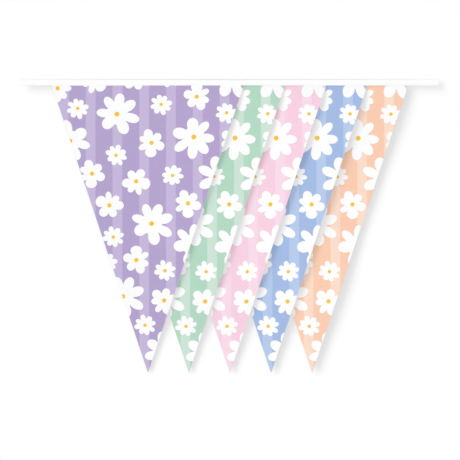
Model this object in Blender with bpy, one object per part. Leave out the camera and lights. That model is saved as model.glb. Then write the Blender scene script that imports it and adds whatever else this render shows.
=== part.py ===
"""A fabric bunting: five triangular pennants that overlap along a folded tape.

The bunting hangs in the XZ plane and is seen from -Y. The origin is the middle
of the tape's top edge. All lengths are in metres.
"""

import math
from collections import namedtuple

import bmesh
import bpy

# Cloth
CLOTH = 0.001            # thickness of each layer
AIR = 0.00035            # gap between two layers

# Pennants, cut as flat triangles with straight sides
PENNANT_WIDTH = 0.200    # across the top, where the cloth leaves the tape
PENNANT_DROP = 0.300     # from the tape's lower edge to the tip
PENNANT_PITCH = 0.0428   # along the tape, from one pennant's middle to the next
TUCK_AIR = 0.0003        # from a pennant's top edge to the fold of the tape

# Tape, folded double with the pennants' top edges inside
TAPE_LENGTH = 0.435
TAPE_HEIGHT = 0.0062
FOLD_RADIUS = 0.0009     # of the tape's two top corners
TAIL_START = 0.199       # from the middle to where the empty tail lies flat
TAIL_AIR = 0.0003        # between the two leaves of a tail

# How the pennants hang
LAYER_PITCH = CLOTH + AIR    # front to back, inside the tape
OVERLAP = 0.5            # layers that a pennant turns through from one to the next
SPREAD = 0.0026          # extra pitch of the layers where they hang free
SPREAD_RISE = 0.060      # drop over which the layers part
CURL_REACH = 0.085       # width of cloth that leans forward with a right edge
CURL_RISE = 0.020        # drop over which the lean begins
CURL_END = 0.205         # drop at which the lean begins to fade
CURL_FADE = 0.060        # drop over which it fades
RIPPLE = 0.0009          # height of the soft waves across the cloth
RIPPLE_WAVE = 0.128      # length of one wave
RIPPLE_RISE = 0.120      # drop over which the waves begin
FALL_START = 0.150       # drop at which the tips begin to fall back
FALL_RISE = 0.120        # drop over which they do
FALL_BACK = 0.0019       # how far the middle pennant's tip falls back
FALL_TURN = 0.77         # layers more that a pennant turns through at its tip

# Fineness of the meshes
COLUMNS = 18             # faces across a pennant's top
COLLAR = 0.024           # drop of the finer rows of faces, just below the tape
COLLAR_ROWS = 6
TAPE_STEPS = 34          # stations along the stretch of tape that holds cloth
CLOSING_STEPS = 3        # stations where the tape closes into each tail
FOLD_STEPS = 3           # faces around each top corner of the tape

# The layer counts from the middle pennant, and is negative in front of it.
# The curl is how far the right edge leans forward.
Pennant = namedtuple("Pennant", "name layer curl colour")
PENNANTS = (
    Pennant("pennant_lilac", -2, 0.0026, (182, 165, 208)),
    Pennant("pennant_mint", -1, 0.0036, (181, 219, 197)),
    Pennant("pennant_pink", 0, 0.0052, (249, 210, 228)),
    Pennant("pennant_blue", 1, 0.0049, (165, 189, 230)),
    Pennant("pennant_peach", 2, 0.0026, (252, 206, 179)),
)
TAPE_COLOUR = (250, 250, 250)
CLOTH_ROUGHNESS = 0.85

TUCK = TAPE_HEIGHT - CLOTH - TUCK_AIR
CORNER = PENNANT_WIDTH / 2 * (1 + TUCK / PENNANT_DROP)   # half the cut width
LAST = PENNANTS[-1].layer
TURN = OVERLAP * LAYER_PITCH / PENNANT_PITCH   # slant of the layers in the tape
HELD = LAST * PENNANT_PITCH + CORNER + CLOTH   # half the tape that holds cloth
APEX = CORNER - LAST * PENNANT_PITCH           # where the stack is thickest


def clear_scene():
    """Remove whatever the opened file holds."""
    for item in list(bpy.data.objects):
        bpy.data.objects.remove(item, do_unlink=True)


def linear(channel):
    """Turn an 8-bit sRGB channel into a linear value."""
    share = channel / 255
    return share / 12.92 if share <= 0.04045 else ((share + 0.055) / 1.055) ** 2.4


def cloth_material(name, colour):
    """Make a matt cloth material of one colour."""
    material = bpy.data.materials.new(name)
    material.use_nodes = True
    shader = material.node_tree.nodes["Principled BSDF"]
    shader.inputs["Base Color"].default_value = (*map(linear, colour), 1)
    shader.inputs["Roughness"].default_value = CLOTH_ROUGHNESS
    shader.inputs["Metallic"].default_value = 0
    return material


def add_object(name, mesh, colour):
    """Put a mesh in the scene as a smooth object with its own material."""
    mesh.shade_smooth()
    mesh.set_sharp_from_angle(angle=math.radians(40))
    mesh.materials.append(cloth_material(name + "_cloth", colour))
    item = bpy.data.objects.new(name, mesh)
    bpy.context.scene.collection.objects.link(item)
    return item


def ease(share):
    """Rise smoothly from 0 to 1 as the share does."""
    share = min(max(share, 0), 1)
    return share * share * (3 - 2 * share)


def unfold(share):
    """Rise from 0 to 1 as the share does, fast at first and then ever slower."""
    share = min(max(share, 0), 1)
    return share * (2 - share)


def half_width(drop):
    """Half of a pennant's width at a drop below the tape."""
    return PENNANT_WIDTH / 2 * (1 - drop / PENNANT_DROP)


def cloth_depth(pennant, x, drop):
    """The Y of the middle of a pennant's cloth."""
    from_edge = pennant.layer * PENNANT_PITCH + half_width(drop) - x
    fall = ease((drop - FALL_START) / FALL_RISE)
    layers_back = pennant.layer - (OVERLAP + FALL_TURN * fall) * x / PENNANT_PITCH
    pitch = LAYER_PITCH + SPREAD * unfold(drop / SPREAD_RISE)
    lean = max(0, 1 - from_edge / CURL_REACH) ** 2
    held = unfold(drop / CURL_RISE) - ease((drop - CURL_END) / CURL_FADE)
    wave = math.sin(math.tau * x / RIPPLE_WAVE)
    ripple = RIPPLE * wave * ease(drop / RIPPLE_RISE) * (1 - fall)
    curl = pennant.curl * lean * held
    return layers_back * pitch - curl + ripple + FALL_BACK * fall


def pennant_rows():
    """The drop of each row of points, and how many faces lie across it."""
    collar = [COLLAR * i / COLLAR_ROWS for i in range(COLLAR_ROWS + 1)]
    rows = [(drop, COLUMNS) for drop in [-TUCK] + collar]
    step = (PENNANT_DROP - COLLAR) / COLUMNS
    rows += [(COLLAR + step * i, COLUMNS - i) for i in range(1, COLUMNS + 1)]
    return rows


def pennant_mesh(pennant):
    """One pennant's cloth, with one face fewer across each row to the tip."""
    shape = bmesh.new()
    lines = []
    for drop, faces in pennant_rows():
        left = pennant.layer * PENNANT_PITCH - half_width(drop)
        step = 2 * half_width(drop) / max(faces, 1)
        line = []
        for i in range(faces + 1):
            x = left + step * i
            place = (x, cloth_depth(pennant, x, drop), -TAPE_HEIGHT - drop)
            line.append(shape.verts.new(place))
        lines.append(line)
    for upper, lower in zip(lines, lines[1:]):
        for i in range(len(lower)):
            if i + 1 < len(upper):
                shape.faces.new((upper[i], lower[i], upper[i + 1]))
            if i + 1 < len(lower):
                shape.faces.new((upper[i + 1], lower[i], lower[i + 1]))
    mesh = bpy.data.meshes.new("pennant")
    shape.to_mesh(mesh)
    shape.free()
    return mesh


def make_pennant(pennant):
    """Give a pennant's cloth its thickness."""
    item = add_object(pennant.name, pennant_mesh(pennant), pennant.colour)
    solid = item.modifiers.new("thickness", "SOLIDIFY")
    solid.thickness = CLOTH
    solid.offset = 0
    solid.use_even_offset = True


def leaf_depths(x):
    """The Y of the inner side of the tape's front leaf and back leaf."""
    depth = LAST * LAYER_PITCH + TURN * APEX + CLOTH / 2 + AIR
    inside = min(max(x, -HELD), HELD)
    front = TURN * abs(inside - APEX) - depth
    back = depth - TURN * abs(inside + APEX)
    closed = ease((abs(x) - HELD) / (TAIL_START - HELD))
    front += (-TAIL_AIR / 2 - front) * closed
    back += (TAIL_AIR / 2 - back) * closed
    return front, back


def corner_arc(y, z, first_angle):
    """Points of a quarter circle that turns clockwise from an angle."""
    turns = [first_angle - math.pi / 2 * i / FOLD_STEPS for i in range(FOLD_STEPS + 1)]
    return [(y + FOLD_RADIUS * math.cos(a), z + FOLD_RADIUS * math.sin(a)) for a in turns]


def tape_section(x):
    """The outline of the folded tape, open at the bottom, as Y and Z pairs."""
    front, back = leaf_depths(x)
    near, far = front - CLOTH, back + CLOTH
    section = [(front, -TAPE_HEIGHT), (near, -TAPE_HEIGHT)]
    section += corner_arc(near + FOLD_RADIUS, -FOLD_RADIUS, math.pi)
    section += corner_arc(far - FOLD_RADIUS, -FOLD_RADIUS, math.pi / 2)
    section += [(far, -TAPE_HEIGHT), (back, -TAPE_HEIGHT)]
    section += [(back, -CLOTH), (front, -CLOTH)]
    return section


def tape_stations():
    """The X of each cross-section along the tape."""
    middle = [HELD * (2 * i / TAPE_STEPS - 1) for i in range(TAPE_STEPS + 1)]
    closing = (TAIL_START - HELD) / CLOSING_STEPS
    tail = [HELD + closing * i for i in range(1, CLOSING_STEPS + 1)]
    tail.append(TAPE_LENGTH / 2)
    return sorted([-x for x in tail] + middle + [-APEX, APEX] + tail)


def make_tape():
    """Skin the folded tape over its cross-sections and close its ends."""
    shape = bmesh.new()
    rings = []
    for x in tape_stations():
        rings.append([shape.verts.new((x, y, z)) for y, z in tape_section(x)])
    for ring, following in zip(rings, rings[1:]):
        for i in range(len(ring)):
            j = (i + 1) % len(ring)
            shape.faces.new((ring[i], ring[j], following[j], following[i]))
    shape.faces.new(rings[0])
    shape.faces.new(list(reversed(rings[-1])))
    bmesh.ops.recalc_face_normals(shape, faces=shape.faces)
    mesh = bpy.data.meshes.new("tape")
    shape.to_mesh(mesh)
    shape.free()
    add_object("tape", mesh, TAPE_COLOUR)


clear_scene()
make_tape()
for each in PENNANTS:
    make_pennant(each)
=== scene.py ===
"""A fabric bunting: five daisy-printed pennants that overlap along a folded tape.

The bunting hangs in front of a white studio wall and is seen from -Y. The origin
is the middle of the tape's top edge, +X runs along the tape and +Z is up. Lengths
are in metres, and those of the daisies in millimetres. On the flat cloth,
"across" is measured from a pennant's centreline and "drop" from the tape down.
"""

import logging
import math
from dataclasses import dataclass, field, replace
from enum import Enum

import bpy
import numpy as np
from bpy.types import ID, Material, Node, NodeSocket as Socket, NodeTree, Object
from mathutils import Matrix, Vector
from mathutils.geometry import delaunay_2d_cdt


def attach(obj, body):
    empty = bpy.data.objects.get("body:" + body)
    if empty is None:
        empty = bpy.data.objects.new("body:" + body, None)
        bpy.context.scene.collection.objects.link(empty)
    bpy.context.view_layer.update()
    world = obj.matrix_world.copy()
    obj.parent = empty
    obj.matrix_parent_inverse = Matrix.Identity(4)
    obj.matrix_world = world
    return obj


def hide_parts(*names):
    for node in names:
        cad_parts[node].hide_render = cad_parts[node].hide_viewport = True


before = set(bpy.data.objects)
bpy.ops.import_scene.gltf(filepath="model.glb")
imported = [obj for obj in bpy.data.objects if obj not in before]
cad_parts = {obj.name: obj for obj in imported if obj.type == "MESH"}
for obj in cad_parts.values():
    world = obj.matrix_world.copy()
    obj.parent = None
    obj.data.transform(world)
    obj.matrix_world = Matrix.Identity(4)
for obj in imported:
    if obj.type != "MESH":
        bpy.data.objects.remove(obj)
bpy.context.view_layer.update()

LOG = logging.getLogger("bunting")
MM = 0.001
CLOTH = 0.0005           # thickness of the cotton and of the tape
CRISP_ANGLE = math.radians(50)
EYE_POINTS = 24
CUT_MAP = "cut"          # the cloth's flat coordinates
PETAL_MASK = "petal"     # faces inside a daisy
EYE_MASK = "eye"         # faces inside a daisy's eye

Feed = Socket | float | tuple[float, ...]
Point = tuple[float, float, float]
Rgb = tuple[int, int, int]                  # an 8-bit screen colour
Surface = tuple[Socket, Socket, Socket]     # colour, roughness and height


def linear(colour: Rgb) -> tuple[float, ...]:
    """Turn a screen colour into linear light, from 0 to 1."""
    shares = [channel / 255 for channel in colour]
    return tuple(s / 12.92 if s <= 0.04045 else ((s + 0.055) / 1.055) ** 2.4 for s in shares)


def ease(share: np.ndarray) -> np.ndarray:
    """Rise smoothly from 0 to 1 as the share does, and stay level beyond."""
    share = np.clip(share, 0, 1)
    return share * share * (3 - 2 * share)


def unfold(share: np.ndarray) -> np.ndarray:
    """Rise from 0 to 1 as the share does, fast at first and then ever slower."""
    share = np.clip(share, 0, 1)
    return share * (2 - share)


@dataclass(frozen=True)
class Petal:
    """One petal: its direction in degrees, and its reach and width in millimetres."""

    angle: float
    reach: float         # from the middle of the eye to the petal's tip
    width: float


@dataclass(frozen=True)
class DaisyShape:
    """The outline of one kind of daisy, in millimetres."""

    eye: float           # radius of the yellow middle
    crown: float         # where a petal is widest, as a share of its reach
    core: float          # radius that the gaps between petals keep
    points: int          # points round the outline
    petals: tuple[Petal, ...]

    def radius(self, ray: float) -> float:
        """Find how far the daisy reaches along a ray.

        Args:
            ray: the ray's direction in degrees, on a daisy that isn't turned.

        Returns:
            The outline's distance from the middle of the eye.
        """
        reach = self.core
        for petal in self.petals:
            middle = self.crown * petal.reach
            length, half = petal.reach - middle, petal.width / 2
            off = math.radians(ray - petal.angle)
            if math.cos(off) <= 0:
                continue
            square = (math.cos(off) / length) ** 2 + (math.sin(off) / half) ** 2
            slope = -2 * math.cos(off) * middle / length**2
            rest = slope * slope - 4 * square * ((middle / length) ** 2 - 1)
            if rest > 0:
                reach = max(reach, (math.sqrt(rest) - slope) / (2 * square))
        return reach


class Bloom(Enum):
    """The three sizes of daisy in the print."""

    LARGE = DaisyShape(2.5, 0.65, 11.0, 126, (
        Petal(0, 23.0, 10.5), Petal(45, 22.0, 10.5), Petal(90, 21.5, 9.5), Petal(140, 21.5, 9.0),
        Petal(190, 20.0, 12.0), Petal(260, 22.5, 12.0), Petal(310, 24.0, 10.0),
    ))
    MIDDLE = DaisyShape(2.2, 0.65, 8.0, 108, (
        Petal(5, 13.0, 8.5), Petal(70, 15.0, 9.5), Petal(115, 13.5, 7.0), Petal(165, 14.5, 6.5),
        Petal(225, 15.0, 12.0), Petal(300, 14.0, 9.5),
    ))
    SMALL = DaisyShape(1.8, 0.70, 7.0, 96, (
        Petal(0, 11.5, 5.5), Petal(50, 10.0, 5.5), Petal(95, 10.5, 5.5), Petal(140, 11.5, 5.0),
        Petal(185, 11.5, 5.0), Petal(225, 11.0, 6.0), Petal(275, 11.5, 5.5), Petal(320, 11.0, 5.0),
    ))


def rays(count: int) -> list[float]:
    """Divide a full turn into rays, in degrees and clockwise."""
    return [-360 * i / count for i in range(count)]


@dataclass(frozen=True)
class Daisy:
    """One daisy on the cut: its middle in millimetres and its turn in degrees."""

    across: float
    drop: float
    bloom: Bloom
    turn: float

    def ring(self) -> list[Vector]:
        """List the points of the petals' outline, as across and drop in millimetres."""
        shape = self.bloom.value
        return [self._point(ray, shape.radius(ray - self.turn)) for ray in rays(shape.points)]

    def eye_ring(self) -> list[Vector]:
        """List the points round the eye, as across and drop in millimetres."""
        return [self._point(ray, self.bloom.value.eye) for ray in rays(EYE_POINTS)]

    def _point(self, ray: float, radius: float) -> Vector:
        """Find the point at a radius from the daisy's middle along a ray in degrees."""
        angle = math.radians(ray)
        return Vector((self.across + radius * math.cos(angle), self.drop - radius * math.sin(angle)))


LARGE, MIDDLE, SMALL = Bloom
DAISIES = tuple(Daisy(*row) for row in (
    (-94, 3, MIDDLE, 195), (-73, 24, SMALL, 10), (-32, 30, LARGE, 35), (-81, 58, LARGE, 205),
    (-33, 73, SMALL, 160), (4, 60, MIDDLE, 40), (14, 20, SMALL, 10), (51, 12, MIDDLE, 225),
    (48, 54, LARGE, 265), (82, 29, SMALL, 10), (26, 94, SMALL, 215), (-12, 100, MIDDLE, 120),
    (-58, 92, MIDDLE, 40), (75, 96, LARGE, 205), (42, 123, MIDDLE, 45), (-40, 125, MIDDLE, 290),
    (4, 144, LARGE, 20), (-36, 158, SMALL, 190), (-12, 182, MIDDLE, 225), (18, 193, SMALL, 190),
    (-26, 220, LARGE, 20), (17, 224, MIDDLE, 70), (-3, 250, SMALL, 190), (-56, -6, MIDDLE, 90),
    (-13, -8, MIDDLE, 285), (23, -12, MIDDLE, 90), (87, -9, LARGE, 345), (89, 58, MIDDLE, 200),
    (47, 166, LARGE, 355), (-43, 184, SMALL, 5), (18, 279, LARGE, 100),
))


@dataclass(frozen=True)
class Inks:
    """The two ground colours of one pennant's print."""

    ground: Rgb
    stripe: Rgb


class Colourway(Enum):
    """The five colours that the same print comes in."""

    LILAC = Inks((182, 165, 208), (200, 185, 221))
    MINT = Inks((181, 219, 197), (206, 230, 216))
    PINK = Inks((249, 210, 228), (250, 220, 235))
    BLUE = Inks((165, 189, 230), (183, 204, 237))
    PEACH = Inks((252, 206, 179), (253, 222, 202))


@dataclass(frozen=True)
class Hang:
    """Where the cloth of the five pennants hangs, counted in layers from the middle one."""

    last: int = 2                 # the rearmost layer, and the foremost is its negative
    width: float = 0.200          # of a pennant where it leaves the tape
    drop: float = 0.300           # from the tape's lower edge to the tip
    pitch: float = 0.0428         # from one pennant's middle to the next
    tape_height: float = 0.0062
    tuck: float = 0.0049          # how far a pennant reaches up into the tape
    layer_pitch: float = 0.00135  # front to back, inside the tape
    overlap: float = 0.5          # layers that a pennant turns through in one pitch
    spread: float = 0.0026        # extra pitch of the layers where they hang free
    spread_rise: float = 0.060    # drop over which the layers part
    curls: tuple[float, ...] = (0.0026, 0.0036, 0.0052, 0.0049, 0.0026)  # lean of the right edges
    curl_reach: float = 0.085     # width of cloth that leans forward with a right edge
    curl_rise: float = 0.020      # drop over which the lean begins
    curl_end: float = 0.205       # drop at which it begins to fade
    curl_fade: float = 0.060      # drop over which it fades
    ripple: float = 0.0009        # height of the soft waves across the cloth
    ripple_wave: float = 0.128    # length of one wave
    ripple_rise: float = 0.120    # drop over which the waves begin
    fall_start: float = 0.150     # drop at which the tips begin to fall back to the wall
    fall_rise: float = 0.120      # drop over which they do
    fall_back: float = 0.0019     # of the middle pennant's tip
    fall_turn: float = 0.77       # layers that a pennant turns through besides, at its tip

    @property
    def corner(self) -> float:
        """Half of a pennant's width at its cut top edge."""
        return self.width / 2 * (1 + self.tuck / self.drop)

    def half_width(self, drop: np.ndarray) -> np.ndarray:
        """Half of a pennant's width at a drop below the tape."""
        return self.width / 2 * (1 - drop / self.drop)

    def depth(self, layer: int, x: np.ndarray, drop: np.ndarray) -> np.ndarray:
        """Find how far back the middle of the cloth lies.

        Args:
            layer: the pennant's layer.
            x: place along the tape.
            drop: distance below the tape's lower edge.

        Returns:
            The Y of the cloth.
        """
        from_edge = layer * self.pitch + self.half_width(drop) - x
        fall = ease((drop - self.fall_start) / self.fall_rise)
        layers_back = layer - (self.overlap + self.fall_turn * fall) * x / self.pitch
        pitch = self.layer_pitch + self.spread * unfold(drop / self.spread_rise)
        lean = np.maximum(0, 1 - from_edge / self.curl_reach) ** 2
        held = unfold(drop / self.curl_rise) - ease((drop - self.curl_end) / self.curl_fade)
        wave = self.ripple * np.sin(math.tau * x / self.ripple_wave)
        wave = wave * ease(drop / self.ripple_rise) * (1 - fall)
        curl = self.curls[layer + self.last] * lean * held
        return layers_back * pitch - curl + wave + self.fall_back * fall

    def place(self, layer: int, flat: np.ndarray) -> np.ndarray:
        """Hang rows of across and drop in a layer, as rows of X, Y and Z."""
        x, drop = layer * self.pitch + flat[:, 0], flat[:, 1]
        return np.column_stack((x, self.depth(layer, x, drop), -self.tape_height - drop))


@dataclass
class PrintedCut:
    """The flat cut of a pennant, divided along the outlines of its daisies."""

    hang: Hang
    lowered: float = 0.0        # how far down the print lies on the cut, in millimetres
    daisies: tuple[Daisy, ...] = DAISIES
    grain: float = 4.5          # spacing in millimetres of the points between the daisies
    row_share: float = 0.866    # from one row of them to the next, as a share of that
    side_steps: int = 72        # points along each side
    welded: float = 1e-4        # points this near, in millimetres, become one
    points: np.ndarray = field(init=False)   # across and drop, in metres
    faces: list[list[int]] = field(init=False)
    petal: np.ndarray = field(init=False)    # 1 for a face inside a daisy
    eye: np.ndarray = field(init=False)      # 1 for a face inside an eye

    def __post_init__(self) -> None:
        """Divide the cut into triangles, once for all the pennants that share it."""
        daisies = [replace(daisy, drop=daisy.drop + self.lowered) for daisy in self.daisies]
        rings = [self._outline()]
        rings += [daisy.ring() for daisy in daisies]
        rings += [daisy.eye_ring() for daisy in daisies]
        points, loops = [], []
        for ring in rings:
            loops.append(list(range(len(points), len(points) + len(ring))))
            points += ring
        points += self._lattice()
        found = delaunay_2d_cdt(points, [], loops, 0, self.welded, True)
        count, inside = len(self.daisies), []
        for face, over in zip(found[2], found[5]):
            if 0 in over:
                inside.append((face, any(0 < i <= count for i in over), max(over) > count))
        faces, petal, eye = zip(*inside)
        self.petal, self.eye = np.array(petal, np.float32), np.array(eye, np.float32)
        used = sorted({i for face in faces for i in face})
        number = {old: new for new, old in enumerate(used)}
        self.points = np.array(found[0])[used] * MM
        self.faces = [[number[i] for i in face] for face in faces]

    def _outline(self) -> list[Vector]:
        """List the points along the cut's three sides.

        Returns:
            Points as across and drop, in millimetres.
        """
        top, corner, steps = -self.hang.tuck / MM, self.hang.corner / MM, self.side_steps
        corners = [(-corner, top), (corner, top), (0, self.hang.drop / MM)]
        sides = []
        for (x0, y0), (x1, y1) in zip(corners, corners[1:] + corners[:1]):
            sides += [Vector((x0 + (x1 - x0) * i / steps, y0 + (y1 - y0) * i / steps))
                      for i in range(steps)]
        return sides

    def _lattice(self) -> list[Vector]:
        """List evenly staggered points inside the cut.

        Returns:
            Points as across and drop, in millimetres.
        """
        points, row = [], 0
        drop = -self.hang.tuck / MM + self.grain
        while drop < self.hang.drop / MM - self.grain:
            half = self.hang.half_width(drop * MM) / MM - self.grain / 2
            across = -half + (self.grain / 2 if row % 2 else 0)
            while across < half:
                points.append(Vector((across, drop)))
                across += self.grain
            drop, row = drop + self.grain * self.row_share, row + 1
        return points


@dataclass
class Board:
    """Lays out and joins the nodes of one shader tree."""

    tree: NodeTree

    def node(self, kind: str, **settings: object) -> Node:
        """Add a node.

        Args:
            kind: the node's type name without "ShaderNode".
            settings: values for the node's own properties.

        Returns:
            The new node.
        """
        made = self.tree.nodes.new("ShaderNode" + kind)
        for name, value in settings.items():
            setattr(made, name, value)
        return made

    def feed(self, socket: Socket, value: Feed) -> None:
        """Join an input to an output, or set its value.

        Args:
            socket: the input.
            value: what it takes.
        """
        if isinstance(value, Socket):
            self.tree.links.new(value, socket)
        else:
            socket.default_value = value

    def join(self, node: Node, *terms: Feed) -> Socket:
        """Feed a node's first inputs.

        Args:
            node: the node.
            terms: what the inputs take, in order.

        Returns:
            Its first output.
        """
        for socket, term in zip(node.inputs, terms):
            self.feed(socket, term)
        return node.outputs[0]

    def set(self, node: Node, values: dict[str, Feed]) -> None:
        """Feed a node's inputs by their names."""
        for name, value in values.items():
            self.feed(node.inputs[name], value)

    def math(self, operation: str, *terms: Feed, clamp: bool = False) -> Socket:
        """Add a sum of one, two or three terms, kept from 0 to 1 where it is clamped."""
        return self.join(self.node("Math", operation=operation, use_clamp=clamp), *terms)

    def mix(self, share: Feed, first: Feed, second: Feed, blend: str = "MIX") -> Socket:
        """Mix two colours.

        Args:
            share: how much of the second colour.
            first: the colour at share 0.
            second: the colour at share 1.
            blend: the Mix node's blend type.

        Returns:
            The mixed colour's socket.
        """
        made = self.node("Mix", data_type="RGBA", blend_type=blend)
        self.feed(made.inputs[0], share)
        self.feed(made.inputs[6], first)
        self.feed(made.inputs[7], second)
        return made.outputs[2]

    def band(self, value: Feed, low: Feed, high: Feed) -> Socket:
        """Rise smoothly from 0 to 1 while a value goes from low to high."""
        made = self.node("MapRange", interpolation_type="SMOOTHSTEP")
        return self.join(made, value, low, high, 0.0, 1.0)

    def noise(self, vector: Feed, scale: float, detail: float = 2.0) -> Socket:
        """Add a noise from 0 to 1, by its features for each metre and its finer octaves."""
        return self.join(self.node("TexNoise"), vector, 0.0, scale, detail)

    def split(self, vector: Feed) -> list[Socket]:
        """Split a vector into its three numbers."""
        first = self.join(self.node("SeparateXYZ"), vector)
        return list(first.node.outputs)

    def flat(self) -> Socket:
        """Read the cloth's flat coordinates."""
        return self.node("UVMap", uv_map=CUT_MAP).outputs[0]


@dataclass(frozen=True)
class Effect:
    """A shader group with named inputs and outputs, built once for all finishes."""

    name: str
    inputs: tuple[tuple[str, str], ...]    # name and kind of each input
    outputs: tuple[tuple[str, str], ...]   # name and kind of each output

    def start(self) -> tuple[Board, Node, Node]:
        """Make the empty group.

        Returns:
            The board to lay it out on, its input node and its output node.
        """
        tree = bpy.data.node_groups.new(self.name, "ShaderNodeTree")
        for in_out, sockets in (("INPUT", self.inputs), ("OUTPUT", self.outputs)):
            for name, kind in sockets:
                tree.interface.new_socket(name, in_out=in_out, socket_type="NodeSocket" + kind)
        board = Board(tree)
        return board, tree.nodes.new("NodeGroupInput"), tree.nodes.new("NodeGroupOutput")

    def use(self, board: Board, **values: Feed) -> Node:
        """Place the group in a material.

        Args:
            board: the material's board.
            values: a value or socket for each input, its name in lower case with underscores.

        Returns:
            The placed group.
        """
        made = board.node("Group", node_tree=bpy.data.node_groups[self.name])
        board.set(made, {name: values[name.lower().replace(" ", "_")] for name, _ in self.inputs})
        return made


# The weave's tone output mixes the slubs' own colour change with painted shade, darker between the
# threads and lighter on their crests.
WEAVE = Effect(
    "plain_weave",
    (("Coordinates", "Vector"), ("Thread Pitch", "Float"), ("Slub", "Float"), ("Relief", "Float")),
    (("Height", "Float"), ("Tone And Shade", "Float"), ("Roughness", "Float")),
)
EDGE_WEAR = Effect(
    "edge_wear",
    (("Coordinates", "Vector"), ("Distance", "Float"), ("Width", "Float")),
    (("Mask", "Float"),),
)
DAISY_PRINT = Effect(
    "daisy_print",
    (("Coordinates", "Vector"), ("Ground", "Color"), ("Stripe", "Color"), ("Petals", "Color"),
     ("Eyes", "Color")),
    (("Colour", "Color"),),
)


@dataclass(frozen=True)
class Stripes:
    """The pale stripes that run down each pennant."""

    pitch: float = 0.0279
    width: float = 0.0101
    centre: float = -0.0037     # of the one nearest the centreline
    softness: float = 0.0004
    shift: float = 20.5         # in pitches, so that no place on the cloth is below zero


@dataclass(frozen=True)
class EffectMaker:
    """Builds the shader groups that the finishes share."""

    wander: float = 30.0        # bends of the threads for each metre
    slub_width: float = 1100.0  # slubs for each metre across their thread
    slub_length: float = 45.0   # slubs for each metre along it
    slub_lift: float = 2.0      # a slub's height for its tone
    mean_height: float = 0.64   # of the weave, where the painted shade between threads neither darkens nor lightens
    roughness: float = 0.93     # between the threads
    gloss: float = 0.08         # what the crests lose of it
    fray: float = 900.0         # fibres for each metre of a worn edge
    fray_least: float = 0.2     # the shortest fibre, as a share of the wear's width
    fray_range: float = 1.6     # what the longest one has more
    stripes: Stripes = Stripes()

    def make_all(self) -> None:
        """Build every group."""
        self.weave()
        self.edge_wear()
        self.daisy_print()

    def weave(self) -> None:
        """Build the plain weave: threads that pass over and under each other, with slubs, and painted
        shade that darkens the gaps between threads and lightens their crests.
        """
        board, given, result = WEAVE.start()
        spot = given.outputs["Coordinates"]
        axes = board.split(spot)[:2]
        wander = board.noise(spot, self.wander, 1.0)
        threads = []
        for axis in axes:
            place = board.math("DIVIDE", axis, given.outputs["Thread Pitch"])
            place = board.math("ADD", place, wander)
            threads.append(board.math("SINE", board.math("MULTIPLY", place, math.pi)))
        crests = []
        for own, other, way in ((threads[0], threads[1], 0.5), (threads[1], threads[0], -0.5)):
            over = board.math("MULTIPLY", other, board.math("SIGN", own))
            round_top = board.math("MULTIPLY", board.math("ABSOLUTE", own), 0.5)
            crests.append(board.math("MULTIPLY_ADD", over, way, round_top))
        height = board.math("MAXIMUM", *crests, clamp=True)
        slubs = []
        for scales in ((self.slub_width, self.slub_length), (self.slub_length, self.slub_width)):
            stretch = [board.math("MULTIPLY", axis, scale) for axis, scale in zip(axes, scales)]
            slubs.append(board.noise(board.join(board.node("CombineXYZ"), *stretch), 1.0, 1.0))
        slub = board.math("SUBTRACT", board.math("ADD", *slubs), 1.0)
        slub = board.math("MULTIPLY", slub, given.outputs["Slub"])
        # painted shade: darker where the weave is low, lighter on the crests
        lit = board.math("SUBTRACT", height, self.mean_height)
        lit = board.math("MULTIPLY", lit, given.outputs["Relief"])
        tone = board.math("ADD", board.math("ADD", 1.0, slub), lit)
        rough = board.math("MULTIPLY_ADD", height, -self.gloss, self.roughness)
        lifted = board.math("MULTIPLY_ADD", slub, self.slub_lift, height)
        board.set(result, {"Height": lifted, "Tone And Shade": tone, "Roughness": rough})

    def edge_wear(self) -> None:
        """Build the wear along an edge: a broken line of raised fibres."""
        board, given, result = EDGE_WEAR.start()
        frayed = board.noise(given.outputs["Coordinates"], self.fray)
        length = board.math("MULTIPLY_ADD", frayed, self.fray_range, self.fray_least)
        reach = board.math("MULTIPLY", given.outputs["Width"], length)
        fade = board.band(given.outputs["Distance"], 0.0, reach)
        board.feed(result.inputs["Mask"], board.math("SUBTRACT", 1.0, fade))

    def daisy_print(self) -> None:
        """Build the print: pale stripes on the ground, then petals and eyes on their own faces."""
        board, given, result = DAISY_PRINT.start()
        rows = self.stripes
        moved = board.math("ADD", board.split(given.outputs["Coordinates"])[0],
                           rows.pitch * rows.shift - rows.centre)
        phase = board.math("SUBTRACT", board.math("MODULO", moved, rows.pitch), rows.pitch / 2)
        beside = board.band(board.math("ABSOLUTE", phase), rows.width / 2 - rows.softness,
                            rows.width / 2 + rows.softness)
        colour = board.mix(board.math("SUBTRACT", 1.0, beside), given.outputs["Ground"],
                           given.outputs["Stripe"])
        for mask, ink in ((PETAL_MASK, "Petals"), (EYE_MASK, "Eyes")):
            printed = board.node("Attribute", attribute_name=mask).outputs["Fac"]
            colour = board.mix(printed, colour, given.outputs[ink])
        board.feed(result.inputs["Colour"], colour)


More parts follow.
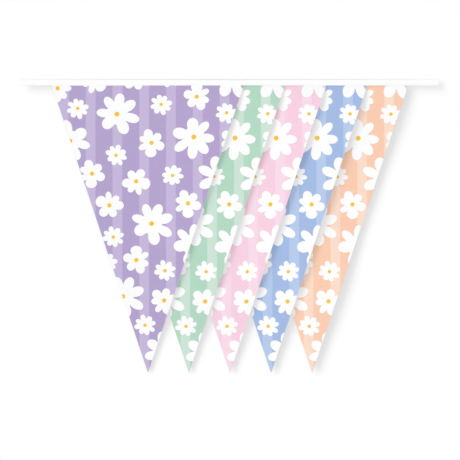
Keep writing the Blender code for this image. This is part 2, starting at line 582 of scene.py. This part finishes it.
@dataclass(frozen=True)
class Finish:
    """What the cottons and the thread have in common."""

    name: str
    bump: float = 0.00012       # height of the threads
    bump_strength: float = 0.6
    specular: float = 0.25
    sheen: float = 0.12
    sheen_roughness: float = 0.55
    albedo: float = 0.90        # light that pure white cloth sends back

    def tint(self, colour: Rgb) -> tuple[float, ...]:
        """Turn a screen colour into the cloth's own base colour."""
        return (*(channel * self.albedo for channel in linear(colour)), 1.0)

    def make(self) -> Material:
        """Build the material: a matt shader with the finish's colour, roughness and height.

        Returns:
            The material.
        """
        material = bpy.data.materials.new(self.name)
        material.use_nodes = True
        board, shader = Board(material.node_tree), material.node_tree.nodes["Principled BSDF"]
        colour, roughness, height = self.surface(board)
        bump = board.node("Bump")
        board.set(bump, {"Distance": self.bump, "Strength": self.bump_strength,
                                "Height": height})
        board.set(shader, {
            "Base Color": colour, "Roughness": roughness, "Normal": bump.outputs[0],
            "Specular IOR Level": self.specular, "Sheen Weight": self.sheen,
            "Sheen Roughness": self.sheen_roughness})
        return material

    def surface(self, board: Board) -> Surface:
        """Lay out the finish, which each kind does in its own way."""
        raise NotImplementedError


@dataclass(frozen=True)
class WovenFinish(Finish):
    """A cotton that shows its weave."""

    thread_pitch: float = 0.0005
    slub: float = 0.05          # how much the slubs change the tone
    relief: float = 0.10        # how much painted shade darkens the gaps between threads and lightens their crests

    def woven(self, board: Board, spot: Socket, inward: Socket,
              width: float) -> tuple[Socket, ...]:
        """Place the weave and the wear along its edges.

        Args:
            board: the material's board.
            spot: the flat coordinates.
            inward: distance from the nearer edge.
            width: of the wear.

        Returns:
            The weave's tone with its painted thread shade, the wear's mask, the roughness and the
            height.
        """
        weave = WEAVE.use(board, coordinates=spot, thread_pitch=self.thread_pitch,
                          slub=self.slub, relief=self.relief).outputs
        worn = EDGE_WEAR.use(board, coordinates=spot, distance=inward, width=width).outputs["Mask"]
        height = board.math("ADD", weave["Height"], worn)
        return weave["Tone And Shade"], worn, weave["Roughness"], height


@dataclass(frozen=True)
class PrintedCotton(WovenFinish):
    """Cotton with the daisy print, on its face or showing through its back."""

    colourway: Colourway = Colourway.LILAC
    soak: float = 1.0           # how much of the print's colour this side shows
    hang: Hang = Hang()
    white: Rgb = (255, 255, 255)
    eyes: Rgb = (250, 197, 30)
    wear: float = 0.0006        # width of the paler fibres along a cut edge
    bleach: float = 0.35        # how white they are

    def surface(self, board: Board) -> Surface:
        """Print the weave, darkened between its threads by painted shade, and bleach its cut edges.

        Args:
            board: the material's board.

        Returns:
            The colour, roughness and height.
        """
        spot, white, inks = board.flat(), self.tint(self.white), self.colourway.value
        pattern = DAISY_PRINT.use(
            board, coordinates=spot, ground=self._soaked(inks.ground),
            stripe=self._soaked(inks.stripe), petals=white, eyes=self._soaked(self.eyes))
        tone, worn, roughness, height = self.woven(board, spot, self._from_cut(board, spot), self.wear)
        # the weave's tone carries painted shade between the threads onto the print
        colour = board.mix(1.0, pattern.outputs["Colour"], tone, "MULTIPLY")
        colour = board.mix(board.math("MULTIPLY", worn, self.bleach), colour, white)
        return colour, roughness, height

    def _soaked(self, colour: Rgb) -> tuple[float, ...]:
        """Mix an ink with the white cloth, by how much of it this side shows."""
        ink, white = self.tint(colour), self.tint(self.white)
        return tuple(w + (i - w) * self.soak for i, w in zip(ink, white))

    def _from_cut(self, board: Board, spot: Socket) -> Socket:
        """Measure the distance to the nearer slanting side.

        Args:
            board: the material's board.
            spot: the flat coordinates.

        Returns:
            The distance's socket.
        """
        across, drop, _ = board.split(spot)
        slant = self.hang.width / 2 / self.hang.drop
        half = board.math("MULTIPLY_ADD", drop, -slant, self.hang.width / 2)
        inward = board.math("SUBTRACT", half, board.math("ABSOLUTE", across))
        return board.math("MULTIPLY", inward, math.cos(math.atan(slant)))


@dataclass(frozen=True)
class TapeCotton(WovenFinish):
    """The white woven tape, with firm selvedges."""

    bump: float = 0.0001
    albedo: float = 0.92
    thread_pitch: float = 0.00045
    slub: float = 0.03
    # relief: painted shade between the tape's threads and lighter crests
    relief: float = 0.08
    colour: Rgb = (255, 255, 255)
    half_flat: float = 0.008    # from the fold's middle to a selvedge, on the flat map
    selvedge: float = 0.0005
    dulling: float = 0.015      # how much darker the selvedge is

    def surface(self, board: Board) -> Surface:
        """Weave the tape, with painted shade between its threads, and dull its selvedges.

        Args:
            board: the material's board.

        Returns:
            The colour, roughness and height.
        """
        spot = board.flat()
        inward = board.math("SUBTRACT", self.half_flat, board.math("ABSOLUTE", board.split(spot)[1]))
        tone, worn, roughness, height = self.woven(board, spot, inward, self.selvedge)
        tone = board.math("MULTIPLY_ADD", worn, -self.dulling, tone)
        return board.mix(1.0, self.tint(self.colour), tone, "MULTIPLY"), roughness, height


@dataclass(frozen=True)
class SewingThread(Finish):
    """White polyester thread, twisted from two plies."""

    bump: float = 0.00005
    sheen: float = 0.05
    colour: Rgb = (250, 250, 248)
    plies: float = 1500.0       # ply ridges for each metre of thread
    shade: float = 0.10         # painted shade: how much darker it is in the grooves between them
    roughness: float = 0.65     # between the ridges
    gloss: float = 0.15         # what the ridges lose of it

    def surface(self, board: Board) -> Surface:
        """Twist the plies, with painted shade in the grooves between them.

        Args:
            board: the material's board.

        Returns:
            The colour, roughness and height.
        """
        along, around, _ = board.split(board.flat())
        turn = board.math("MULTIPLY_ADD", along, self.plies, around)
        ridge = board.math("ABSOLUTE", board.math("SINE", board.math("MULTIPLY", turn, math.pi)))
        # painted shade in the grooves, multiplied into the thread's colour
        tone = board.math("MULTIPLY_ADD", ridge, self.shade, 1 - self.shade)
        roughness = board.math("MULTIPLY_ADD", ridge, -self.gloss, self.roughness)
        return board.mix(1.0, self.tint(self.colour), tone, "MULTIPLY"), roughness, ridge


def put(name: str, data: ID) -> Object:
    """Put something in the scene.

    Args:
        name: the new object's name.
        data: its mesh, lamp or camera.

    Returns:
        The object.
    """
    item = bpy.data.objects.new(name, data)
    bpy.context.scene.collection.objects.link(item)
    return item


def new_piece(name: str, points: np.ndarray, faces: list[list[int]],
              flat: np.ndarray) -> Object:
    """Make a smooth mesh piece that knows its flat coordinates.

    Args:
        name: the piece's name.
        points: rows of X, Y and Z.
        faces: the points of each face.
        flat: the flat coordinates of each point.

    Returns:
        The piece, in the scene.
    """
    mesh = bpy.data.meshes.new(name)
    mesh.from_pydata(points.tolist(), [], faces)
    mesh.shade_smooth()
    corners = np.zeros(len(mesh.loops), np.int32)
    mesh.loops.foreach_get("vertex_index", corners)
    layer = mesh.uv_layers.new(name=CUT_MAP)
    layer.data.foreach_set("uv", flat[corners].astype(np.float32).ravel())
    return put(name, mesh)


def thicken(piece: Object, offset: float, back: int) -> None:
    """Give a sheet the thickness of cloth, with crisp cut edges.

    Args:
        piece: the sheet.
        offset: 0 to grow both ways, -1 to grow inward.
        back: material slots from the face to the back and the cut edge.
    """
    solid = piece.modifiers.new("thickness", "SOLIDIFY")
    solid.thickness = CLOTH
    solid.offset = offset
    solid.material_offset = solid.material_offset_rim = back
    sheet = piece.data
    thick = piece.evaluated_get(bpy.context.evaluated_depsgraph_get())
    piece.data = bpy.data.meshes.new_from_object(thick)
    piece.modifiers.clear()
    bpy.data.meshes.remove(sheet)
    piece.data.name = piece.name
    piece.data.set_sharp_from_angle(angle=CRISP_ANGLE)


@dataclass
class Pennant:
    """One printed pennant."""

    name: str
    layer: int
    colourway: Colourway
    hang: Hang
    cut: PrintedCut
    back_soak: float = 0.55     # how much of the print shows on the back

    def build(self) -> Object:
        """Hang the printed cut in its layer and dress both sides.

        Returns:
            The piece.
        """
        piece = new_piece(self.name + "_cloth", self.hang.place(self.layer, self.cut.points),
                          self.cut.faces, self.cut.points)
        for name, values in ((PETAL_MASK, self.cut.petal), (EYE_MASK, self.cut.eye)):
            mask = piece.data.attributes.new(name, "FLOAT", "FACE")
            mask.data.foreach_set("value", values)
        piece.data.flip_normals()     # so that the print looks to the front
        for side, soak in (("face", 1.0), ("back", self.back_soak)):
            finish = PrintedCotton(f"{self.name}_{side}", colourway=self.colourway, soak=soak,
                                   hang=self.hang)
            piece.data.materials.append(finish.make())
        thicken(piece, offset=0, back=1)
        self._declare(piece)
        return piece

    def _declare(self, piece: Object) -> None:
        """Attach the pennant's cloth to the root body and hide the imported part of the same name.

        Args:
            piece: the pennant's cloth.
        """
        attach(piece, "root")
        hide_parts(self.name)


@dataclass
class Tape:
    """The white tape, folded over the pennants' top edges and sewn through."""

    hang: Hang
    length: float = 0.435
    flat_width: float = 0.0165  # before it is folded
    air: float = 0.00015        # between the outer pennants and the leaves
    margin: float = 0.001       # of full tape beyond the outer pennants' corners
    turn_width: float = 0.006   # of a leaf's rounded turn, where the stack is thickest
    turn_lift: float = 0.002    # taken off the distance from it, which lets the leaf out
    tail_start: float = 0.199   # from the middle to where the empty tail lies flat
    tail_air: float = 0.0003    # between the two leaves of a tail
    fold_radius: float = 0.0022
    fold_fullness: float = 0.5  # the radius's most, as a share of half the thickness
    fold_sag: float = 0.00018   # of the fold's top between its corners
    sag_change: float = 0.5     # how much the sag varies along the tape
    sag_waves: tuple[float, float] = (61.0, 23.0)  # radians for each metre of tape
    lip: float = 0.0002         # of the leaves below the line where the pennants' drop begins
    seam_rise: float = 0.0013   # of the stitches above the lower edge
    stitch: float = 0.0028
    pucker: float = 0.00008     # how far the thread pulls the cloth in
    pucker_width: float = 0.0009
    hole_pull: float = 0.45     # half the share of the pucker that fades between the holes
    stations_per_stitch: int = 4
    leaf_steps: int = 10
    fold_steps: int = 5
    top_steps: int = 4

    @property
    def held(self) -> float:
        """Half of the tape that holds cloth."""
        return self.hang.last * self.hang.pitch + self.hang.corner + self.margin

    def leaf(self, x: np.ndarray, side: int) -> np.ndarray:
        """Find the outer face of a leaf.

        Args:
            x: places along the tape.
            side: -1 for the front leaf, 1 for the back one.

        Returns:
            The leaf's Y at each place.
        """
        hang = self.hang
        turn = hang.overlap * hang.layer_pitch / hang.pitch
        apex = hang.corner - hang.last * hang.pitch
        depth = hang.last * hang.layer_pitch + turn * apex + CLOTH / 2 + self.air
        inside = np.clip(x, -self.held, self.held)
        away = np.sqrt((inside + side * apex) ** 2 + self.turn_width**2) - self.turn_lift
        packed = depth - turn * away
        closed = ease((np.abs(x) - self.held) / (self.tail_start - self.held))
        return side * (packed + (self.tail_air / 2 - packed) * closed + CLOTH)

    def stations(self) -> np.ndarray:
        """Place the cross-sections, several to each stitch."""
        count = round(self.length / self.stitch) * self.stations_per_stitch
        return np.linspace(-self.length / 2, self.length / 2, count + 1)

    def pulled(self, x: np.ndarray, z: np.ndarray) -> np.ndarray:
        """Find how far the thread pulls a leaf in, most at the needle's holes.

        Args:
            x: places along the tape.
            z: heights on the leaf.

        Returns:
            The pull at each place.
        """
        from_seam = (z + self.hang.tape_height - self.seam_rise) / self.pucker_width
        beat = np.cos(math.tau * (x + self.length / 2) / self.stitch)
        return self.pucker * (1 - self.hole_pull + self.hole_pull * beat) * np.exp(-from_seam**2)

    def build(self) -> Object:
        """Skin the folded tape over its cross-sections.

        Returns:
            The piece.
        """
        x = self.stations()
        rows, count = self._rows(x), len(x)
        finish = TapeCotton("tape_cotton")
        across = np.linspace(-finish.half_flat, finish.half_flat, len(rows))
        points = np.array([np.column_stack((x, y, z * np.ones_like(x))) for y, z in rows])
        flat = np.array([np.column_stack((x, np.full_like(x, v))) for v in across])
        faces = [[r * count + i, r * count + i + 1, (r + 1) * count + i + 1, (r + 1) * count + i]
                 for r in range(len(rows) - 1) for i in range(count - 1)]
        piece = new_piece("tape_cloth", points.reshape(-1, 3), faces, flat.reshape(-1, 2))
        piece.data.materials.append(finish.make())
        thicken(piece, offset=-1, back=0)
        return piece

    def _rows(self, x: np.ndarray) -> list[tuple[np.ndarray, np.ndarray]]:
        """List the lines that run along the tape, from the front leaf over the fold to the back.

        Args:
            x: places along the tape.

        Returns:
            The Y and Z of each line at those places.
        """
        front, back = self.leaf(x, -1), self.leaf(x, 1)
        radius = np.minimum(self.fold_radius, (back - front) / 2 * self.fold_fullness)
        low = self.hang.tape_height + self.lip
        short_wave, long_wave = (np.sin(x * wave) for wave in self.sag_waves)
        deepest = self.fold_sag * (1 + self.sag_change * short_wave * long_wave)
        leaves = []
        for side, leaf in ((-1, front), (1, back)):
            leaves.append([])
            for i in range(self.leaf_steps):
                z = -low + (low - radius) * i / self.leaf_steps
                leaves[-1].append((leaf - side * self.pulled(x, z), z))
            for i in range(self.fold_steps):
                angle = math.pi / 2 * i / self.fold_steps
                y = leaf - side * radius * (1 - math.cos(angle))
                leaves[-1].append((y, radius * (math.sin(angle) - 1)))
        top = []
        for i in range(self.top_steps + 1):
            share = i / self.top_steps
            y = front + radius + (back - front - 2 * radius) * share
            top.append((y, -deepest * math.sin(math.pi * share)))
        return leaves[0] + top + leaves[1][::-1]

    def declare(self, piece: Object) -> None:
        """Attach the tape's cloth to the root body and hide the imported tape part.

        Args:
            piece: the tape's cloth.
        """
        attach(piece, "root")
        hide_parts("tape")


@dataclass
class Stitching:
    """The lockstitch that holds the pennants in the tape, on both leaves."""

    tape: Tape
    radius: float = 0.00014
    sides: int = 8
    steps: int = 6
    gap: float = 0.0003         # between the ends of two stitches, at the needle's hole
    proud: float = 0.7          # of the thread's middle above the leaf, in radii
    dip: float = 0.00035        # of a stitch's ends into the cloth
    slant: float = 0.00004      # of a stitch's ends up or down
    taper: float = 0.45         # what the ends lose of the radius

    def build(self) -> Object:
        """Lay every stitch on its leaf, its ends dipping into the cloth.

        Returns:
            The piece.
        """
        points, faces, flat = [], [], []
        count = round(self.tape.length / self.tape.stitch)
        pitch = self.tape.length / count
        for side in (-1, 1):
            for i in range(1, count - 1):
                start = -self.tape.length / 2 + pitch * i + self.gap / 2
                self._tube(self._path(start, pitch - self.gap, side), points, faces, flat)
        piece = new_piece("tape_stitching", np.array(points), faces, np.array(flat))
        piece.data.materials.append(SewingThread("sewing_thread").make())
        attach(piece, "root")
        return piece

    def _path(self, start: float, length: float, side: int) -> list[Point]:
        """List the points along one stitch.

        Args:
            start: its left end.
            length: from end to end.
            side: -1 on the front leaf, 1 on the back one.

        Returns:
            Points as X, Y and Z.
        """
        z = -self.tape.hang.tape_height + self.tape.seam_rise
        path = []
        for i in range(self.steps + 1):
            share = i / self.steps
            x = start + length * share
            dip = self.dip * abs(2 * share - 1) ** 4
            surface = float(self.tape.leaf(np.array(x), side))
            pulled = float(self.tape.pulled(np.array(x), np.array(z)))
            y = surface + side * (self.radius * self.proud - pulled - dip)
            path.append((x, y, z + self.slant * side * (2 * share - 1)))
        return path

    def _tube(self, path: list[Point], points: list[Point], faces: list[list[int]],
              flat: list[tuple[float, float]]) -> None:
        """Skin a thread along a path and close its ends.

        Args:
            path: points along the thread, which runs mostly along X.
            points: the mesh's points, added to.
            faces: the mesh's faces, added to.
            flat: the points' flat coordinates, added to.
        """
        first = len(points)
        for i, (x, y, z) in enumerate(path):
            tip = abs(2 * i / self.steps - 1)
            radius = self.radius * (1 - self.taper * tip**6)
            for j in range(self.sides):
                angle = math.tau * j / self.sides
                points.append((x, y + radius * math.cos(angle), z + radius * math.sin(angle)))
                flat.append((x, j / self.sides))
        for i in range(self.steps):
            a, b = first + i * self.sides, first + (i + 1) * self.sides
            for j in range(self.sides):
                k = (j + 1) % self.sides
                faces.append([a + j, a + k, b + k, b + j])
        last = first + self.steps * self.sides
        faces.append([first + j for j in reversed(range(self.sides))])
        faces.append([last + j for j in range(self.sides)])


@dataclass(frozen=True)
class Sun:
    """A distant lamp of the studio."""

    name: str
    towards: Point              # the way its light goes
    strength: float
    spread: float               # in degrees
    bounces: int = 0
    sweep_only: bool = False    # whether it lights the wall and floor alone


@dataclass
class Studio:
    """The white wall and floor, the lights and the camera."""

    wall: float = 0.0088        # Y of the wall, just behind the rearmost cloth
    floor: float = -0.50
    cove: float = 0.08          # radius of the curve between them
    cove_steps: int = 12
    width: float = 3.0          # of half the wall
    reach: float = 4.0          # of the floor towards the camera
    ceiling: float = 2.2
    paper: float = 0.925        # share of light that the sweep sends back
    lens: float = 200.0         # in millimetres, as the sensor is
    sensor: float = 36.0
    seen_width: float = 0.4792  # of the picture where the bunting hangs
    seen_centre: tuple[float, float] = (0.0, -0.1568)
    sky: float = 0.20
    suns: tuple[Sun, ...] = (
        Sun("key_high", (0.80, 1.0, -0.75), 0.56, 36, bounces=8),
        Sun("key_low", (0.80, 1.0, -0.15), 0.55, 36, bounces=8),
        Sun("floor_light", (0.0, -0.30, -1.0), 1.35, 30, sweep_only=True),
        Sun("back_light", (-0.35, -1.0, -0.45), 2.60, 40),
    )
    fills: tuple[tuple[str, float, float], ...] = (    # name, power and radius
        ("front_fill", 152.0, 0.04), ("wide_fill", 33.0, 0.9))

    @property
    def camera_place(self) -> Point:
        """Where the camera stands, straight in front of the picture's centre."""
        x, z = self.seen_centre
        return x, -self.seen_width * self.lens / self.sensor, z

    def build(self) -> None:
        """Put up the whole studio."""
        self._lights(self._sweep())
        self._sky()
        self._camera()

    def _sweep(self) -> Object:
        """Build the wall and floor as one curved sheet that shows only from the front.

        Returns:
            The sheet.
        """
        profile = [(self.wall, self.ceiling), (self.wall, self.floor + self.cove)]
        for i in range(1, self.cove_steps + 1):
            angle = math.pi / 2 * i / self.cove_steps
            profile.append((self.wall - self.cove * (1 - math.cos(angle)),
                            self.floor + self.cove * (1 - math.sin(angle))))
        profile.append((self.wall - self.reach, self.floor))
        points = [(x, y, z) for y, z in profile for x in (-self.width, self.width)]
        faces = [[2 * i, 2 * i + 2, 2 * i + 3, 2 * i + 1] for i in range(len(profile) - 1)]
        mesh = bpy.data.meshes.new("studio_sweep")
        mesh.from_pydata(points, [], faces)
        mesh.shade_smooth()
        mesh.materials.append(self._paper())
        sweep = put("studio_sweep", mesh)
        for sight in ("diffuse", "glossy", "transmission", "shadow", "volume_scatter"):
            setattr(sweep, "visible_" + sight, False)
        return sweep

    def _paper(self) -> Material:
        """Make the sweep's white paper, which is see-through from behind.

        Returns:
            The material.
        """
        material = bpy.data.materials.new("studio_paper")
        material.use_nodes = True
        board, nodes = Board(material.node_tree), material.node_tree.nodes
        shader = nodes["Principled BSDF"]
        board.set(shader, {"Base Color": (self.paper, self.paper, self.paper, 1),
                                  "Roughness": 1.0, "Specular IOR Level": 0.0})
        behind = board.node("NewGeometry").outputs["Backfacing"]
        clear = board.node("BsdfTransparent").outputs[0]
        mixed = board.join(board.node("MixShader"), behind, shader.outputs[0], clear)
        board.feed(nodes["Material Output"].inputs["Surface"], mixed)
        return material

    def _lights(self, sweep: Object) -> None:
        """Hang the lamps: two soft keys, one for the floor, a back light and two fills.

        Args:
            sweep: the wall and floor.
        """
        lit_alone = bpy.data.collections.new("lit_by_floor_light")
        lit_alone.objects.link(sweep)
        for sun in self.suns:
            lamp = bpy.data.lights.new(sun.name, "SUN")
            lamp.energy = sun.strength
            lamp.angle = math.radians(sun.spread)
            lamp.cycles.max_bounces = sun.bounces
            item = put(sun.name, lamp)
            item.rotation_mode = "QUATERNION"
            item.rotation_quaternion = Vector(sun.towards).to_track_quat("-Z", "Y")
            item.location = Vector(sun.towards) * -2
            if sun.sweep_only:
                item.light_linking.receiver_collection = lit_alone
        for name, power, radius in self.fills:
            lamp = bpy.data.lights.new(name, "POINT")
            lamp.energy = power
            lamp.shadow_soft_size = radius
            item = put(name, lamp)
            item.location = self.camera_place
            item.visible_camera = False

    def _sky(self) -> None:
        """Light the room evenly, and show it white to the camera."""
        world = bpy.data.worlds.new("studio")
        bpy.context.scene.world = world
        world.use_nodes = True
        board, nodes = Board(world.node_tree), world.node_tree.nodes
        lit, seen = nodes["Background"], board.node("Background")
        for background, strength in ((lit, self.sky), (seen, 1.0)):
            board.set(background, {"Color": (1, 1, 1, 1), "Strength": strength})
        to_camera = board.node("LightPath").outputs["Is Camera Ray"]
        mixed = board.join(board.node("MixShader"), to_camera, lit.outputs[0], seen.outputs[0])
        board.feed(nodes["World Output"].inputs["Surface"], mixed)

    def _camera(self) -> None:
        """Aim the camera straight at the bunting."""
        camera = bpy.data.cameras.new("camera")
        camera.lens, camera.sensor_width = self.lens, self.sensor
        camera.dof.use_dof = False
        item = put("camera", camera)
        item.location = self.camera_place
        item.rotation_euler = (math.pi / 2, 0, 0)
        scene = bpy.context.scene
        scene.camera = item
        scene.view_settings.view_transform = "Standard"
        scene.view_settings.look = "None"


def main() -> None:
    """Build the bunting and its studio."""
    logging.basicConfig(level=logging.INFO, format="%(message)s")
    EffectMaker().make_all()
    hang = Hang()
    first_cut, other_cut = PrintedCut(hang), PrintedCut(hang, lowered=1.0)
    LOG.info("cut: %d faces, %d of them petals", len(first_cut.faces), int(first_cut.petal.sum()))
    tape = Tape(hang)
    tape_piece = tape.build()
    stitching = Stitching(tape).build()
    tape.declare(tape_piece)
    LOG.info("tape: %d faces, stitching: %d faces", len(tape_piece.data.polygons),
             len(stitching.data.polygons))
    for layer, colourway in enumerate(Colourway, -hang.last):
        cut = first_cut if layer == -hang.last else other_cut
        piece = Pennant("pennant_" + colourway.name.lower(), layer, colourway, hang, cut).build()
        LOG.info("%s: %d faces", piece.name, len(piece.data.polygons))
    Studio().build()


if __name__ == "__main__":
    main()
